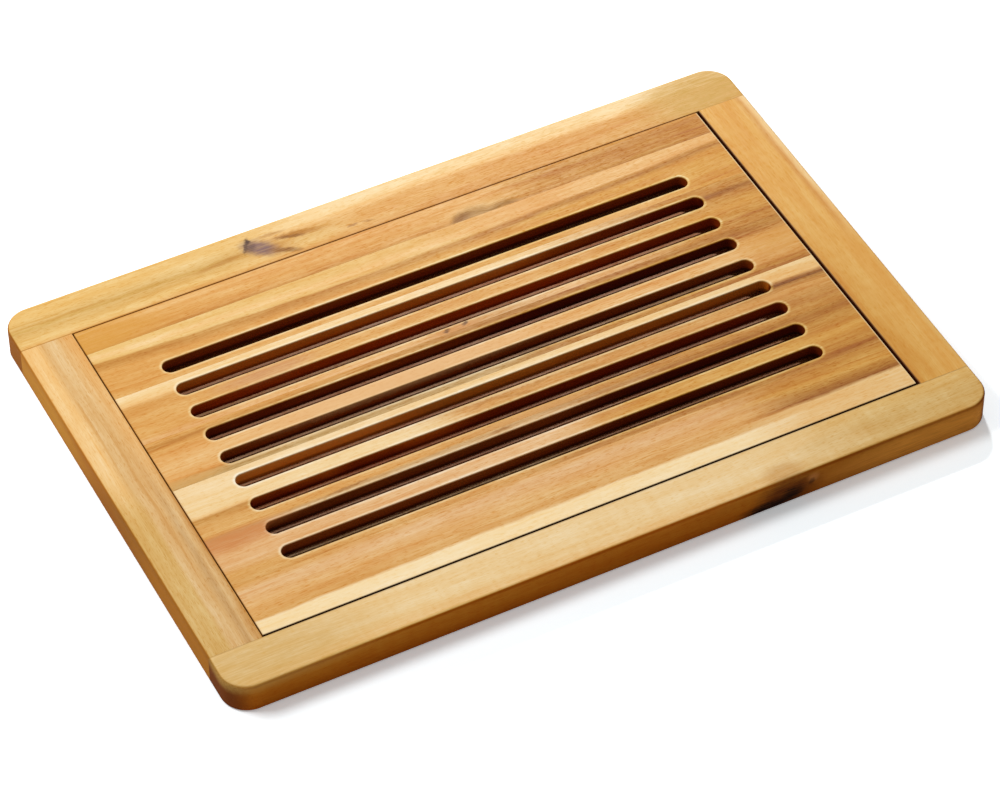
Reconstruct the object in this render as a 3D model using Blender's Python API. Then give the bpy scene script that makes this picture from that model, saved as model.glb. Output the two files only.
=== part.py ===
"""Bread board with a crumb catcher, in metres, +Z up.

A frame of two rails and two stiles stands round a slotted insert. The insert lies on ledge strips and
lifts off. Crumbs fall through its slots onto a floor that is let into the frame from below.
The origin is the centre of the underside. X runs along the board and Y to the back.
"""
import math

import bmesh
import bpy
from mathutils import Matrix, Vector

# Outer size of the board
BOARD_LENGTH = 0.475
BOARD_WIDTH = 0.320
CORNER_RADIUS = 0.016
EDGE_ROUND = 0.0018
CORNER_STEPS = 10
EDGE_STEPS = 4

# Frame members, as wide as they show from above
FRONT_RAIL_WIDTH = 0.0295
BACK_RAIL_WIDTH = 0.032
STILE_WIDTH = 0.032

# Layers, from the top down: insert, space for crumbs, floor, and a recess that keeps the floor off the table
INSERT_THICKNESS = 0.0085
CRUMB_DEPTH = 0.006
FLOOR_THICKNESS = 0.005
FLOOR_RECESS = 0.0005
BOARD_THICKNESS = INSERT_THICKNESS + CRUMB_DEPTH + FLOOR_THICKNESS + FLOOR_RECESS

# Gap between pieces that touch or are glued, and how far a cutter runs past what it cuts
CONTACT_GAP = 0.0003
CUT_OVERRUN = 0.002

# Play round the insert, which has been pushed to the back and to the left
INSERT_GAP_BACK = 0.0006
INSERT_GAP_FRONT = 0.0014
INSERT_GAP_LEFT = 0.0009
INSERT_GAP_RIGHT = 0.0018

# Staves of the insert: a plain one in front and behind, and between them full ones with the slots
FRONT_STAVE_WIDTH = 0.0382
BACK_STAVE_WIDTH = 0.0193
SLOTTED_STAVES = 5
FLOOR_STAVES = 7

# Slots of the insert: two to a full stave, so that the glue lines run between slots, and as wide as the bars
SLOTS_PER_STAVE = 2
SLOT_COUNT = 9
SLOT_WIDTH_SHARE = 0.5
SLOT_END_MARGIN = 0.0339
SLOT_END_STEPS = 12

# Ledge strips below the insert, and how far the floor reaches under the frame
LEDGE_WIDTH = 0.007
FLOOR_SEAT = 0.006

# Dowels in the joints between rails and stiles, placed across the stile's width
DOWEL_DIAMETER = 0.006
DOWEL_LENGTH = 0.030
DOWEL_END_ROOM = 0.001
DOWEL_SIDES = 16
DOWEL_PLACE_SHARES = {"outer": 0.25, "inner": 0.75}

# Edges that turn by more than this stay sharp
SHARP_ANGLE = math.radians(35)

# Places worked out from the sizes
HALF_LENGTH = BOARD_LENGTH / 2
HALF_WIDTH = BOARD_WIDTH / 2
OPENING_HALF_LENGTH = HALF_LENGTH - STILE_WIDTH
OPENING_FRONT = -HALF_WIDTH + FRONT_RAIL_WIDTH
OPENING_BACK = HALF_WIDTH - BACK_RAIL_WIDTH
INSERT_LOW = Vector((
    -OPENING_HALF_LENGTH + INSERT_GAP_LEFT,
    OPENING_FRONT + INSERT_GAP_FRONT,
    BOARD_THICKNESS - INSERT_THICKNESS,
))
INSERT_HIGH = Vector((
    OPENING_HALF_LENGTH - INSERT_GAP_RIGHT,
    OPENING_BACK - INSERT_GAP_BACK,
    BOARD_THICKNESS,
))
SLOTTED_FRONT = INSERT_LOW.y + FRONT_STAVE_WIDTH
SLOTTED_BACK = INSERT_HIGH.y - BACK_STAVE_WIDTH
SLOT_PITCH = (SLOTTED_BACK - SLOTTED_FRONT) / (SLOTTED_STAVES * SLOTS_PER_STAVE)
SLOT_WIDTH = SLOT_PITCH * SLOT_WIDTH_SHARE
FLOOR_TOP = FLOOR_RECESS + FLOOR_THICKNESS
SEAT_TOP = FLOOR_TOP + CONTACT_GAP
LEDGE_TOP = INSERT_LOW.z - CONTACT_GAP

# Colours as sRGB hex values, and the finish of oiled wood
WOOD_ROUGHNESS = 0.45
COLOURS = {
    "back_rail": "E3BF80",
    "front_rail": "E0BC80",
    "left_stile": "E0B678",
    "right_stile": "DDA252",
    "ledge": "C89A5C",
    "floor": "C2925A",
    "dowel": "D8BE90",
}
INSERT_COLOURS = ("DCA765", "D9A15D", "E6BE85", "E0B072", "DDAA69", "DAA86A", "D8A060")


def clear_scene():
    """Remove whatever the scene starts with."""
    for thing in list(bpy.data.objects):
        bpy.data.objects.remove(thing, do_unlink=True)


def linear(value):
    """One sRGB channel from 0 to 1 as a linear value."""
    if value <= 0.04045:
        return value / 12.92
    return ((value + 0.055) / 1.055) ** 2.4


def wood(name, colour):
    """A Principled BSDF material of plain oiled wood."""
    material = bpy.data.materials.new(name + "_wood")
    material.use_nodes = True
    channels = [linear(int(colour[at:at + 2], 16) / 255) for at in (0, 2, 4)]
    shader = material.node_tree.nodes["Principled BSDF"]
    shader.inputs["Base Color"].default_value = (*channels, 1.0)
    shader.inputs["Roughness"].default_value = WOOD_ROUGHNESS
    shader.inputs["Metallic"].default_value = 0.0
    return material


def add_empty(name, place):
    """An empty that carries the pieces of one body."""
    empty = bpy.data.objects.new(name, None)
    empty.location = place
    bpy.context.scene.collection.objects.link(empty)
    bpy.context.view_layer.update()
    return empty


def add_object(name, bm, place, parent=None):
    """Turn a bmesh round its own centre into an object at that place."""
    bmesh.ops.recalc_face_normals(bm, faces=bm.faces[:])
    mesh = bpy.data.meshes.new(name)
    bm.to_mesh(mesh)
    bm.free()
    mesh.shade_smooth()
    mesh.set_sharp_from_angle(angle=SHARP_ANGLE)
    piece = bpy.data.objects.new(name, mesh)
    bpy.context.scene.collection.objects.link(piece)
    if parent:
        piece.parent = parent
        place = place - parent.location
    piece.location = place
    return piece


def add_box(name, low, high, parent=None):
    """A plain rectangular piece between two corners."""
    bm = bmesh.new()
    bmesh.ops.create_cube(bm, size=1.0, matrix=Matrix.Diagonal((*(high - low), 1.0)))
    return add_object(name, bm, (low + high) / 2, parent)


def as_cutter(piece):
    """Mark an object as a cutter, which isn't a piece of the board."""
    piece.hide_render = True
    piece.display_type = "WIRE"
    return piece


def cut(piece, cutter):
    """Take a cutter's shape out of a piece."""
    modifier = piece.modifiers.new("cut_" + cutter.name, "BOOLEAN")
    modifier.operation = "DIFFERENCE"
    modifier.solver = "EXACT"
    modifier.object = cutter


def arc(centre_x, centre_y, radius, start, turn, steps):
    """Points along an arc, as x and y."""
    points = []
    for step in range(steps + 1):
        angle = start + turn * step / steps
        points.append((centre_x + radius * math.cos(angle), centre_y + radius * math.sin(angle)))
    return points


def extruded(outline, low, high):
    """A bmesh with this outline between two heights."""
    bm = bmesh.new()
    corners = [bm.verts.new((x, y, low)) for x, y in outline]
    face = bm.faces.new(corners)
    raised = bmesh.ops.extrude_face_region(bm, geom=[face])["geom"]
    moved = [item for item in raised if isinstance(item, bmesh.types.BMVert)]
    bmesh.ops.translate(bm, verts=moved, vec=(0, 0, high - low))
    bmesh.ops.recalc_face_normals(bm, faces=bm.faces[:])
    return bm


def rounded_block():
    """The whole board's outside: round corners, with rounded edges along top and bottom."""
    outline = []
    for quarter, (side_x, side_y) in enumerate(((1, 1), (-1, 1), (-1, -1), (1, -1))):
        centre_x = side_x * (HALF_LENGTH - CORNER_RADIUS)
        centre_y = side_y * (HALF_WIDTH - CORNER_RADIUS)
        outline += arc(centre_x, centre_y, CORNER_RADIUS, quarter * math.pi / 2, math.pi / 2, CORNER_STEPS)
    bm = extruded(outline, 0, BOARD_THICKNESS)
    level = [edge for edge in bm.edges if edge.verts[0].co.z == edge.verts[1].co.z]
    bmesh.ops.bevel(
        bm, geom=level, offset=EDGE_ROUND, segments=EDGE_STEPS, profile=0.5, affect="EDGES",
    )
    return bm


def keep_side(bm, place, direction):
    """Cut a solid by a plane and keep the part that the direction points to."""
    everything = bm.verts[:] + bm.edges[:] + bm.faces[:]
    result = bmesh.ops.bisect_plane(
        bm, geom=everything, plane_co=place, plane_no=direction, clear_inner=True,
    )
    rim = [item for item in result["geom_cut"] if isinstance(item, bmesh.types.BMEdge)]
    bmesh.ops.edgeloop_fill(bm, edges=rim)


def add_member(name, planes, centre, parent):
    """A frame member: the rounded block cut down by planes, each given as a place and a direction."""
    bm = rounded_block()
    for place, direction in planes:
        keep_side(bm, place, direction)
    bmesh.ops.translate(bm, verts=bm.verts[:], vec=-centre)
    member = add_object(name, bm, centre, parent)
    member.data.materials.append(wood(name, COLOURS[name]))
    return member


def add_rail(name, side, inner_y, parent):
    """A full-length member at the back (side 1) or the front (side -1), with its inner face at that Y."""
    inner_face = (Vector((0, inner_y, 0)), Vector((0, side, 0)))
    centre = Vector((0, (side * HALF_WIDTH + inner_y) / 2, BOARD_THICKNESS / 2))
    return add_member(name, [inner_face], centre, parent)


def add_stile(name, side, parent):
    """A short member at the right (side 1) or the left (side -1), butted between the rails."""
    planes = [
        (Vector((side * OPENING_HALF_LENGTH, 0, 0)), Vector((side, 0, 0))),
        (Vector((0, OPENING_BACK - CONTACT_GAP, 0)), Vector((0, -1, 0))),
        (Vector((0, OPENING_FRONT + CONTACT_GAP, 0)), Vector((0, 1, 0))),
    ]
    middle_y = (OPENING_FRONT + OPENING_BACK) / 2
    centre = Vector((side * (HALF_LENGTH - STILE_WIDTH / 2), middle_y, BOARD_THICKNESS / 2))
    return add_member(name, planes, centre, parent)


def add_rod(name, place, radius, length, parent=None):
    """A round rod that lies along Y."""
    bm = bmesh.new()
    bmesh.ops.create_cone(
        bm, cap_ends=True, segments=DOWEL_SIDES, radius1=radius, radius2=radius, depth=length,
        matrix=Matrix.Rotation(math.pi / 2, 4, "X"),
    )
    return add_object(name, bm, place, parent)


def add_dowels(members, parent):
    """Two dowels in each joint between a rail and a stile, with their bores."""
    height = (SEAT_TOP + BOARD_THICKNESS) / 2
    for rail_name, joint_y in (("back", OPENING_BACK), ("front", OPENING_FRONT)):
        for stile_name, side_x in (("left", -1), ("right", 1)):
            for place_name, share in DOWEL_PLACE_SHARES.items():
                place = Vector((side_x * (HALF_LENGTH - share * STILE_WIDTH), joint_y, height))
                label = "_".join((rail_name, stile_name, place_name))
                radius = DOWEL_DIAMETER / 2
                dowel = add_rod("dowel_" + label, place, radius, DOWEL_LENGTH, parent)
                dowel.data.materials.append(wood(dowel.name, COLOURS["dowel"]))
                bore_length = DOWEL_LENGTH + 2 * DOWEL_END_ROOM
                bore = as_cutter(add_rod("bore_" + label, place, radius + CONTACT_GAP, bore_length))
                cut(members[rail_name], bore)
                cut(members[stile_name], bore)


def cut_floor_seat(members):
    """Cut the recess that takes the floor, from below, into all four members."""
    reach_x = OPENING_HALF_LENGTH + FLOOR_SEAT
    low = Vector((-reach_x, OPENING_FRONT - FLOOR_SEAT, -CUT_OVERRUN))
    high = Vector((reach_x, OPENING_BACK + FLOOR_SEAT, SEAT_TOP))
    seat = as_cutter(add_box("floor_seat", low, high))
    for member in members.values():
        cut(member, seat)


def even_lines(start, end, count):
    """The ends and the lines between so many staves of one width."""
    return [start + (end - start) * index / count for index in range(count + 1)]


def stave_spans(lines):
    """Where each stave starts and ends in Y, half a gap off its glue lines but not off the panel's edges."""
    spans = []
    for index in range(len(lines) - 1):
        start = lines[index] + (CONTACT_GAP / 2 if index > 0 else 0)
        end = lines[index + 1] - (CONTACT_GAP / 2 if index < len(lines) - 2 else 0)
        spans.append((start, end))
    return spans


def add_floor(parent):
    """The glued floor of the crumb tray."""
    reach = FLOOR_SEAT - CONTACT_GAP
    reach_x = OPENING_HALF_LENGTH + reach
    spans = stave_spans(even_lines(OPENING_FRONT - reach, OPENING_BACK + reach, FLOOR_STAVES))
    for number, (start, end) in enumerate(spans, 1):
        low = Vector((-reach_x, start, FLOOR_RECESS))
        high = Vector((reach_x, end, FLOOR_TOP))
        stave = add_box("floor_stave_%d" % number, low, high, parent)
        stave.data.materials.append(wood(stave.name, COLOURS["floor"]))


def add_ledges(parent):
    """Strips inside the frame, on which the insert lies. The long ones run between the stiles."""
    end_x = OPENING_HALF_LENGTH - CONTACT_GAP
    inner_x = end_x - LEDGE_WIDTH
    front, back = OPENING_FRONT + CONTACT_GAP, OPENING_BACK - CONTACT_GAP
    inner_front, inner_back = front + LEDGE_WIDTH, back - LEDGE_WIDTH
    short_front, short_back = inner_front + CONTACT_GAP, inner_back - CONTACT_GAP
    corners = {
        "ledge_back": ((-end_x, inner_back), (end_x, back)),
        "ledge_front": ((-end_x, front), (end_x, inner_front)),
        "ledge_left": ((-end_x, short_front), (-inner_x, short_back)),
        "ledge_right": ((inner_x, short_front), (end_x, short_back)),
    }
    for name, (low, high) in corners.items():
        strip = add_box(name, Vector((*low, SEAT_TOP)), Vector((*high, LEDGE_TOP)), parent)
        strip.data.materials.append(wood(name, COLOURS["ledge"]))


def add_slot_cutters():
    """One cutter for each slot: a bar with round ends."""
    radius = SLOT_WIDTH / 2
    centre = (INSERT_LOW + INSERT_HIGH) / 2
    straight = (INSERT_HIGH.x - INSERT_LOW.x) / 2 - SLOT_END_MARGIN - radius
    outline = arc(straight, 0, radius, -math.pi / 2, math.pi, SLOT_END_STEPS)
    outline += arc(-straight, 0, radius, math.pi / 2, math.pi, SLOT_END_STEPS)
    reach = INSERT_THICKNESS / 2 + CUT_OVERRUN
    cutters = []
    for index in range(SLOT_COUNT):
        place = Vector((centre.x, SLOTTED_FRONT + (index + 0.5) * SLOT_PITCH, centre.z))
        bm = extruded(outline, -reach, reach)
        cutters.append(as_cutter(add_object("slot_%d" % (index + 1), bm, place)))
    return cutters


def add_insert():
    """The slotted insert, which lifts off: glued staves under one empty on the lift's axis."""
    axis = (INSERT_LOW + INSERT_HIGH) / 2
    axis.z = INSERT_LOW.z
    insert = add_empty("insert_lift", axis)
    cutters = add_slot_cutters()
    slotted = even_lines(SLOTTED_FRONT, SLOTTED_BACK, SLOTTED_STAVES)
    spans = stave_spans([INSERT_LOW.y, *slotted, INSERT_HIGH.y])
    for number, (start, end) in enumerate(spans, 1):
        low = Vector((INSERT_LOW.x, start, INSERT_LOW.z))
        high = Vector((INSERT_HIGH.x, end, INSERT_HIGH.z))
        stave = add_box("insert_stave_%d" % number, low, high, insert)
        colour = INSERT_COLOURS[(number - 1) % len(INSERT_COLOURS)]
        stave.data.materials.append(wood(stave.name, colour))
        for cutter in cutters:
            if abs(cutter.location.y - (start + end) / 2) < (end - start + SLOT_WIDTH) / 2:
                cut(stave, cutter)


def build():
    """The whole board."""
    clear_scene()
    frame = add_empty("frame", Vector((0, 0, 0)))
    members = {
        "back": add_rail("back_rail", 1, OPENING_BACK, frame),
        "front": add_rail("front_rail", -1, OPENING_FRONT, frame),
        "left": add_stile("left_stile", -1, frame),
        "right": add_stile("right_stile", 1, frame),
    }
    cut_floor_seat(members)
    add_dowels(members, frame)
    add_floor(frame)
    add_ledges(frame)
    add_insert()


build()
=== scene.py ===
# %% [markdown]
# # A bread board with a crumb catcher
# The board is a wooden frame with a slotted grid of glued staves lying in it. Bread is cut on the grid, the
# crumbs fall through the slots onto a floor below, and the grid lifts off to empty it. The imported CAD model
# gives every solid and its place, so this script only has to give each one its finer shape and its wood.

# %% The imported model
import math

import bmesh
import bpy
from mathutils import Euler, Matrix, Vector


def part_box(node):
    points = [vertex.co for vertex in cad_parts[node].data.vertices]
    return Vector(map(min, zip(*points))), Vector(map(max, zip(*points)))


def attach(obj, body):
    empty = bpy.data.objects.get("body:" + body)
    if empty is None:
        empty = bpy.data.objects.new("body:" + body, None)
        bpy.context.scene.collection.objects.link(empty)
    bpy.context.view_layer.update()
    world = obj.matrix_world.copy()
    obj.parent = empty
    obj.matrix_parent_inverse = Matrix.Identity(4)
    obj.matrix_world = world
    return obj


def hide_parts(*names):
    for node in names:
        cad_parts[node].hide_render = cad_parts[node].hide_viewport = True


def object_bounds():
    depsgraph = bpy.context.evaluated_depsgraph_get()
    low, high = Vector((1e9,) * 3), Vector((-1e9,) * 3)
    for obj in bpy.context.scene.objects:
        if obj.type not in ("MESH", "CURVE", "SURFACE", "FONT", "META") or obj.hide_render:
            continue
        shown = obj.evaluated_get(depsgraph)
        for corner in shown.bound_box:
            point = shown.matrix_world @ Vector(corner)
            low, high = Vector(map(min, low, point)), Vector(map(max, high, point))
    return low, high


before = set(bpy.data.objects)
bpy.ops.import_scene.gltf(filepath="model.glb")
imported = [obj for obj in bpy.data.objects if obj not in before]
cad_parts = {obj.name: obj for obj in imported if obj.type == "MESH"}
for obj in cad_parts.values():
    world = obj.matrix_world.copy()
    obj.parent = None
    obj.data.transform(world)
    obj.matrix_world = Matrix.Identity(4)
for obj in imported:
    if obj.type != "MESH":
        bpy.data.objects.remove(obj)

CAD_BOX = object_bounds()

# %% [markdown]
# ## The camera
# The photograph was taken with a long lens from the front left, at about 45 degrees above the table. The
# place, the angles and the lens come from fitting the board's straight edges. A short lens near the board
# would not give such nearly parallel edges. The lens has no shift, so the board is in the middle of other
# views too.

# %% Camera
CAMERA_PLACE = (-0.77622, -1.53386, 1.76914)
CAMERA_ANGLES = (43.93132, 0.24093, -27.23344)
SENSOR_WIDTH_MM = 36
LENS_MM = 154.796
NEAREST_SEEN = 0.05
FURTHEST_SEEN = 50
bpy.ops.object.camera_add(location=CAMERA_PLACE)
camera = bpy.context.object
camera.name = "camera"
camera.rotation_euler = [math.radians(angle) for angle in CAMERA_ANGLES]
camera.data.sensor_width = SENSOR_WIDTH_MM
camera.data.lens = LENS_MM
camera.data.clip_start = NEAREST_SEEN
camera.data.clip_end = FURTHEST_SEEN
bpy.context.scene.camera = camera
print("camera distance: %.2f m" % camera.location.length)

# %% [markdown]
# ## Helpers for the joinery
# A board maker starts from a planed block, then rounds its edges with a router and cuts its recesses. The
# helpers below do the same: a block between two corners, easing of chosen edges, and a cut with a cutter. The
# last one shades a finished piece and says which CAD node it stands for. Edges are chosen by where they are,
# so that the choice still holds when a size changes.

# %% Blocks and cuts
MM = 0.001


def start_block(name, low, high):
    """A block between two corners, with its place in its mesh."""
    bpy.ops.object.select_all(action="DESELECT")
    centre = (Vector(low) + Vector(high)) / 2
    bpy.ops.mesh.primitive_cube_add(size=1, location=centre, scale=Vector(high) - Vector(low))
    bpy.ops.object.transform_apply(location=True, rotation=True, scale=True)
    block = bpy.context.object
    block.name = name
    return block


def work_on(piece):
    """Make this piece the only selected one, in object mode."""
    bpy.ops.object.select_all(action="DESELECT")
    piece.select_set(True)
    bpy.context.view_layer.objects.active = piece


def cut_away(piece, cutter):
    """Take the cutter's shape out of the piece, and throw the cutter away."""
    work_on(piece)
    bpy.ops.object.modifier_add(type="BOOLEAN")
    modifier = piece.modifiers[-1]
    modifier.operation = "DIFFERENCE"
    modifier.solver = "EXACT"
    modifier.object = cutter
    bpy.ops.object.modifier_apply(modifier=modifier.name)
    bpy.data.objects.remove(cutter, do_unlink=True)


print("blocks and cuts ready")

# %% Eased edges and finished pieces
# Two places closer than this are taken as the same
NEAR = 0.01 * MM
# The share of a direction that points up or down: less than the first is level, more than the second upright
LEVEL = 0.1
UPRIGHT = 0.9
SMOOTH_UNDER_DEGREES = 40


def ease_edges(piece, wanted, size, steps):
    """Round off every edge that the test picks by its middle, its direction and its faces' normals."""
    work_on(piece)
    bpy.ops.object.mode_set(mode="EDIT")
    bpy.ops.mesh.select_mode(type="EDGE")
    bpy.ops.mesh.select_all(action="DESELECT")
    shape = bmesh.from_edit_mesh(piece.data)
    chosen = 0
    for edge in shape.edges:
        start, end = (corner.co for corner in edge.verts)
        normals = [face.normal for face in edge.link_faces]
        if wanted((start + end) / 2, (end - start).normalized(), normals):
            edge.select_set(True)
            chosen += 1
    bmesh.update_edit_mesh(piece.data)
    bpy.ops.mesh.bevel(offset=size, segments=steps, profile=0.5, affect="EDGES", clamp_overlap=True)
    bpy.ops.object.mode_set(mode="OBJECT")
    return chosen


def finish_piece(piece, body, node):
    """Shade flat faces flat and rounded edges round, and put the piece in the CAD node's place."""
    work_on(piece)
    bpy.ops.object.shade_smooth_by_angle(angle=math.radians(SMOOTH_UNDER_DEGREES))
    bpy.ops.object.modifier_add(type="WEIGHTED_NORMAL")
    piece.modifiers[-1].keep_sharp = True
    bpy.ops.object.modifier_apply(modifier=piece.modifiers[-1].name)
    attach(piece, body)
    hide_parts(node)
    return piece


print("edges and finish ready")

# %% [markdown]
# ## Rails
# Each rail is one long piece of wood, over the board's whole length. Its two outer corners are cut to a
# radius of 16 mm and its outer edges have a 1.8 mm round-over on both sides. The inner edge, beside the grid,
# is only touched with sandpaper. The bevel operator does the corners first and then the round-overs, which
# then run round the corners in one sweep, as the router does. The recess for the floor and the bores for the
# dowels are cut last.

# %% Sizes that the rails and stiles share
CORNER_RADIUS = 16 * MM
CORNER_STEPS = 20
ROUND_OVER = 1.8 * MM
ROUND_STEPS = 6
SANDED = 0.15 * MM
# The fine line that stays open between two glued pieces
FIT = 0.03 * MM
BOARD_LOW, BOARD_HIGH = CAD_BOX
TOP = BOARD_HIGH.z
OPENING_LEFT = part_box("left_stile")[1].x
OPENING_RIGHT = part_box("right_stile")[0].x
OPENING_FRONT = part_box("front_rail")[1].y
OPENING_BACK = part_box("back_rail")[0].y


def lies_in_face(middle, along):
    """An edge in the top or the bottom face of the board."""
    in_face = abs(middle.z - TOP) < NEAR or abs(middle.z) < NEAR
    return abs(along.z) < LEVEL and in_face


print("opening: %.1f x %.1f mm" % ((OPENING_RIGHT - OPENING_LEFT) / MM, (OPENING_BACK - OPENING_FRONT) / MM))

# %% Seat of the floor and bores of the dowels
FLOOR_STAVES = 7
FLOOR_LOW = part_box("floor_stave_1")[0]
FLOOR_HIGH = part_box("floor_stave_%d" % FLOOR_STAVES)[1]
DOWELS = [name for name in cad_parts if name.startswith("dowel")]
SEAT_ROOM = 0.3 * MM
BORE_ROOM = 0.15 * MM
BORE_END_ROOM = 1 * MM
BORE_SIDES = 32
# A dowel's middle lies in the glue line, no further than this outside the two members that it joins
JOINT_REACH = 1 * MM


def piece_box(piece):
    """The lowest and the highest corner of a piece."""
    return Vector(piece.bound_box[0]), Vector(piece.bound_box[6])


def cut_seat_and_bores(member):
    """Cut the floor's recess and the dowels' bores out of a frame member."""
    seat_low = (FLOOR_LOW.x - SEAT_ROOM, FLOOR_LOW.y - SEAT_ROOM, -MM)
    seat_high = (FLOOR_HIGH.x + SEAT_ROOM, FLOOR_HIGH.y + SEAT_ROOM, FLOOR_HIGH.z + FIT)
    cut_away(member, start_block("seat_cutter", seat_low, seat_high))
    low, high = piece_box(member)
    for name in DOWELS:
        start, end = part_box(name)
        centre = (start + end) / 2
        at_joint = low.y - JOINT_REACH < centre.y < high.y + JOINT_REACH
        if at_joint and low.x < centre.x < high.x:
            bpy.ops.object.select_all(action="DESELECT")
            bpy.ops.mesh.primitive_cylinder_add(
                vertices=BORE_SIDES, radius=(end.x - start.x) / 2 + BORE_ROOM,
                depth=end.y - start.y + 2 * BORE_END_ROOM, location=centre, rotation=(math.pi / 2, 0, 0),
            )
            cut_away(member, bpy.context.object)


print("dowels to bore for:", len(DOWELS))

# %% Rails
pieces = {}
for name, inner_y in (("back_rail", OPENING_BACK), ("front_rail", OPENING_FRONT)):
    low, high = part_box(name)
    rail = start_block(name + "_wood", low, high)

    def outer_corner(middle, along, normals):
        return abs(along.z) > UPRIGHT and abs(middle.y - inner_y) > MM

    def outer_run(middle, along, normals):
        return lies_in_face(middle, along) and abs(middle.y - inner_y) > NEAR

    def inner_edge(middle, along, normals):
        return lies_in_face(middle, along) and abs(middle.y - inner_y) < NEAR

    ease_edges(rail, outer_corner, size=CORNER_RADIUS, steps=CORNER_STEPS)
    ease_edges(rail, outer_run, size=ROUND_OVER, steps=ROUND_STEPS)
    ease_edges(rail, inner_edge, size=SANDED, steps=2)
    cut_seat_and_bores(rail)
    pieces[name] = finish_piece(rail, "frame", name)
    print(name, "faces:", len(rail.data.polygons))

# %% [markdown]
# ## Stiles
# The stiles are the two short members, with their grain running across the board. They are butted between the
# rails, glued and held by dowels. They could be made with the rails as one ring, but then the grain could not
# turn at the joints, and the joint lines would have to be painted on.

# %% Stiles
STILE_SIDES = {"left_stile": (BOARD_LOW.x, OPENING_LEFT), "right_stile": (BOARD_HIGH.x, OPENING_RIGHT)}
for name, (outer_x, inner_x) in STILE_SIDES.items():
    low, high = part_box(name)
    low.y = OPENING_FRONT + FIT
    high.y = OPENING_BACK - FIT
    stile = start_block(name + "_wood", low, high)

    def outer_run(middle, along, normals):
        return lies_in_face(middle, along) and abs(middle.x - outer_x) < NEAR

    def inner_edge(middle, along, normals):
        return lies_in_face(middle, along) and abs(middle.x - inner_x) < NEAR

    ease_edges(stile, outer_run, size=ROUND_OVER, steps=ROUND_STEPS)
    ease_edges(stile, inner_edge, size=SANDED, steps=2)
    cut_seat_and_bores(stile)
    pieces[name] = finish_piece(stile, "frame", name)
    print(name, "faces:", len(stile.data.polygons))

# %% [markdown]
# ## Dowels
# Eight dowels hold the joints between rails and stiles. A shop-bought dowel is fluted, so that glue and air
# can get out of the bore, and its ends are eased so that it finds the bore. One is made from a cylinder, with
# every third of its lengthwise edges drawn in, and then copied to the eight places.

# %% One dowel
DOWEL_SIDES = 48
END_EASING = 0.7 * MM
SIDES_PER_FLUTE = 3
# How far a flute is drawn in, as a share of the radius
FLUTE_SHARE = 0.12
# The share of an edge's direction that has to point along the dowel
LENGTHWISE = 0.99
low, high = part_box(DOWELS[0])
half_length = (high.y - low.y) / 2
bpy.ops.object.select_all(action="DESELECT")
bpy.ops.mesh.primitive_cylinder_add(
    vertices=DOWEL_SIDES, radius=(high.x - low.x) / 2, depth=high.y - low.y, rotation=(math.pi / 2, 0, 0),
)
bpy.ops.object.transform_apply(location=True, rotation=True, scale=True)
first_dowel = bpy.context.object


def end_rim(middle, along, normals):
    return abs(abs(middle.y) - half_length) < NEAR


ease_edges(first_dowel, end_rim, size=END_EASING, steps=2)
bpy.ops.object.mode_set(mode="EDIT")
bpy.ops.mesh.select_mode(type="EDGE")
bpy.ops.mesh.select_all(action="DESELECT")
shape = bmesh.from_edit_mesh(first_dowel.data)
for edge in shape.edges:
    start, end = (corner.co for corner in edge.verts)
    middle = (start + end) / 2
    side = round((math.atan2(middle.z, middle.x) / math.tau) * DOWEL_SIDES)
    lengthwise = abs((end - start).normalized().y) > LENGTHWISE
    if lengthwise and side % SIDES_PER_FLUTE == 0:
        edge.select_set(True)
bmesh.update_edit_mesh(first_dowel.data)
bpy.ops.transform.resize(value=(1 - FLUTE_SHARE, 1, 1 - FLUTE_SHARE))
bpy.ops.object.mode_set(mode="OBJECT")
print("flutes:", DOWEL_SIDES // SIDES_PER_FLUTE)

# %% Dowels
for name in sorted(DOWELS):
    work_on(first_dowel)
    bpy.ops.object.duplicate()
    dowel = bpy.context.object
    dowel.name = name + "_wood"
    low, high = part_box(name)
    dowel.location = (low + high) / 2
    bpy.ops.object.transform_apply(location=True, rotation=True, scale=True)
    pieces[name] = finish_piece(dowel, "frame", name)
bpy.data.objects.remove(first_dowel, do_unlink=True)
print("dowels:", len(DOWELS))

# %% [markdown]
# ## Floor and ledges
# The floor that catches the crumbs is a glued panel, let into the frame from below. The grid lies on four
# ledge strips inside the frame. Both are plain strips of wood, so blocks do for them, with their free edges
# eased a little: the floor's where no other stave is glued on, and the ledges' along the crumb space.

# %% Floor staves
FLOOR_EASING = 0.5 * MM


def glued_box(prefix, number, count):
    """A stave's box, grown into the CAD's gaps beside it until each glue line is one fit wide."""
    low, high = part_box("%s_%d" % (prefix, number))
    if number > 1:
        nearer_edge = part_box("%s_%d" % (prefix, number - 1))[1].y
        low.y = (nearer_edge + low.y) / 2 + FIT / 2
    if number < count:
        further_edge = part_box("%s_%d" % (prefix, number + 1))[0].y
        high.y = (high.y + further_edge) / 2 - FIT / 2
    return low, high


for number in range(1, FLOOR_STAVES + 1):
    name = "floor_stave_%d" % number
    low, high = glued_box("floor_stave", number, FLOOR_STAVES)
    stave = start_block(name + "_wood", low, high)

    def free_edge(middle, along, normals):
        at_end = abs(abs(middle.x) - high.x) < NEAR and abs(along.z) < LEVEL
        at_side = min(abs(middle.y - FLOOR_LOW.y), abs(middle.y - FLOOR_HIGH.y)) < NEAR
        return at_end or at_side

    ease_edges(stave, free_edge, size=FLOOR_EASING, steps=2)
    pieces[name] = finish_piece(stave, "frame", name)
print("floor staves:", FLOOR_STAVES)

# %% Ledges
LEDGES = ("ledge_back", "ledge_front", "ledge_left", "ledge_right")
LEDGE_ROUNDING = 1 * MM
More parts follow.
